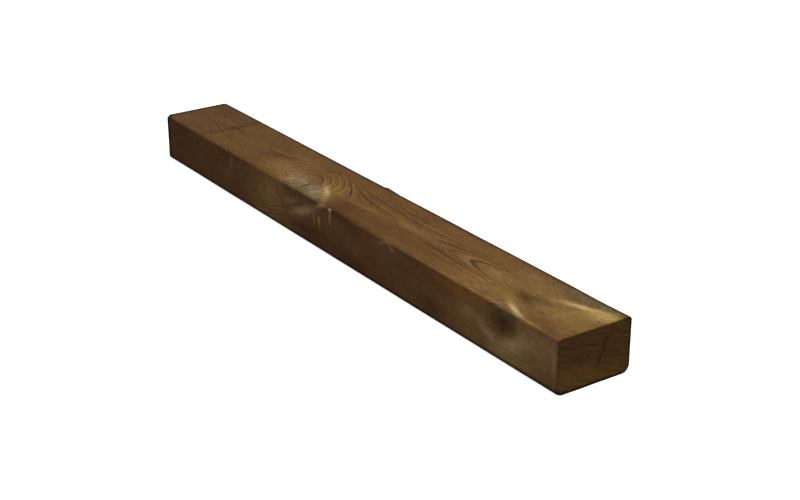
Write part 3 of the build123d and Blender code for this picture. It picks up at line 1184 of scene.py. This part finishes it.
lining = bpy.data.materials.new("painted_shade_check_lining")
inner = empty_tree(lining)
dark_walls = add(inner, "ShaderNodeBsdfPrincipled", {
    "Base Color": linear(CHECK_SHADE_COLOUR), "Roughness": 0.9, "Specular IOR Level": 0.1,
})
add(inner, "ShaderNodeOutputMaterial", {"Surface": dark_walls})
print(f"{lining.name} has {len(inner.nodes)} nodes")

# %% [markdown]
# There are six checks: the radial one on the near end, the long hairline near the far end of the
# top, the one in the knot on the arris, and a star of three in the round knot. Their places are
# read off the timber with a rule, as along and across or down.

# %% Cut the checks
HEART_CHECK = [(51.0, 10.5), (47.0, 13.0), (46.2, 20.5), (44.0, 25.5), (41.5, 31.0), (38.5, 36.5)]
FACE_CHECK = [(9, 40), (32, 41.5), (56, 44), (78, 50), (104, 54.5), (134, 58.5)]
KNOT_CHECK = [(270, 54), (272.5, 60), (272, 66.5), (274.5, 71)]
STAR_PITH = (598, 14)
STAR_ARMS = [(-7, -3), (6.5, -4), (1.5, 7)]
# How far out along an arm each place is, and how far to its side, as shares of the arm.
ARM_KINKS = [(-0.15, 0.0), (0.2, 0.06), (0.6, -0.05), (1.0, 0.0)]

# Each check has its path, the way out of its face, its width and its depth.
checks = [
    ([on_near_end(*at) for at in HEART_CHECK], (1, 0, 0), 1.1, 14.0),
    ([on_top(*at) for at in FACE_CHECK], (0, 0, 1), 0.7, 4.0),
    ([on_top(*at) for at in KNOT_CHECK], (0, 0, 1), 1.6, 4.5),
]
for along, down in STAR_ARMS:
    arm = []
    for out, kink in ARM_KINKS:
        arm_along = STAR_PITH[0] + out * along - kink * down
        arm_down = STAR_PITH[1] + out * down + kink * along
        arm.append(on_front(arm_along, arm_down))
    checks.append((arm, (0, -1, 0), 0.9, 3.0))
for path, outward, width, depth in checks:
    before = len(timber.data.polygons)
    count = cut_check(path, outward, width, depth, lining)
    print(f"a check through {count} places: {before} faces became {len(timber.data.polygons)}")

# %% [markdown]
# ## Studio
# The timber lies on white paper under one soft lamp. To the camera the paper is white and glows, a
# little less close to the timber. To all other light it is a grey that doesn't glow, so that little
# is thrown up onto the dim front edge.

# %% White paper floor
FLOOR = 8.0
# The paper lies a hair below the timber, so that the two surfaces never coincide.
FLOOR_DROP = 0.0002
GLOW_REACH = (0.35, 1.3)
GLOW_LEVELS = (0.7, 0.85)

start_fresh()
bpy.ops.mesh.primitive_plane_add(size=FLOOR, location=(0, 0, -FLOOR_DROP))
floor = bpy.context.object
floor.name = "studio_floor"
paper = bpy.data.materials.new("white_paper_floor")
sheet = empty_tree(paper)
seen = add(sheet, "ShaderNodeLightPath").outputs["Is Camera Ray"]
tint = add(sheet, MIX, (seen, linear("#7a7a7a"), linear("#ffffff")), data_type="RGBA")
matt = add(sheet, "ShaderNodeBsdfDiffuse", {"Color": tint.outputs[2]})
spot = add(sheet, "ShaderNodeTexCoord").outputs["Object"]
away = add(sheet, VECTOR, (spot,), "LENGTH")
shine = add(sheet, RANGE, (away, *GLOW_REACH, *GLOW_LEVELS))
strength = add(sheet, MATH, (seen, shine), "MULTIPLY")
glow = add(sheet, "ShaderNodeEmission", {"Color": linear("#ffffff"), "Strength": strength})
paper_surface = add(sheet, "ShaderNodeAddShader", (matt, glow))
add(sheet, "ShaderNodeOutputMaterial", {"Surface": paper_surface})
floor.data.materials.append(paper)
print(f"a paper floor {FLOOR} m wide")

# %% [markdown]
# The lamp is a wide disk above the near half and a little in front. So the top is bright, the front
# edge and the near end stay dim, and the light falls away towards the far end.

# %% Lamp
KEY_PLACE = Vector((0.45, -0.25, 1.2))
KEY_AIM = Vector((0.2, 0, 0))
KEY_SIZE = 0.8
KEY_POWER = 14.0
bpy.ops.object.light_add(type="AREA", location=KEY_PLACE)
key = bpy.context.object
key.rotation_euler = (KEY_AIM - KEY_PLACE).to_track_quat("-Z", "Y").to_euler()
key.data.shape = "DISK"
key.data.size = KEY_SIZE
key.data.energy = KEY_POWER
print(f"a {KEY_POWER} W lamp, {(KEY_PLACE - KEY_AIM).length:.2f} m from the timber")

# %% [markdown]
# The world fills the shadows with a weak white light. The camera and mirror-like rays see it at
# full white, because the timber stands before a white background.

# %% World
WORLD_LEVEL = 0.2
studio = bpy.data.worlds.new("studio")
bpy.context.scene.world = studio
sky = empty_tree(studio)
rays = add(sky, "ShaderNodeLightPath").outputs
mirror = add(sky, MATH, (rays["Is Glossy Ray"], rays["Is Transmission Ray"]), "MAXIMUM")
white = add(sky, MATH, (rays["Is Camera Ray"], mirror), "MAXIMUM")
level = add(sky, RANGE, (white, 0.0, 1.0, WORLD_LEVEL, 1.0))
air = add(sky, "ShaderNodeBackground", {"Color": linear("#ffffff"), "Strength": level})
add(sky, "ShaderNodeOutputWorld", {"Surface": air})
bpy.context.scene.view_settings.view_transform = "Standard"
print(f"world light at {WORLD_LEVEL}, white to the camera")

# %% [markdown]
# ## On the frame
# The mesh is shaded smooth, but for sharp edges such as the lips of the checks. Then it is tied to
# the shared frame: it rides on the body that never moves and stands in for the plain timber.

# %% On the frame
# Edges sharper than this, in degrees, stay sharp.
SHARP = 35

pick(timber)
bpy.ops.object.shade_smooth_by_angle(angle=math.radians(SHARP))
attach(timber, "root")
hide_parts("timber")
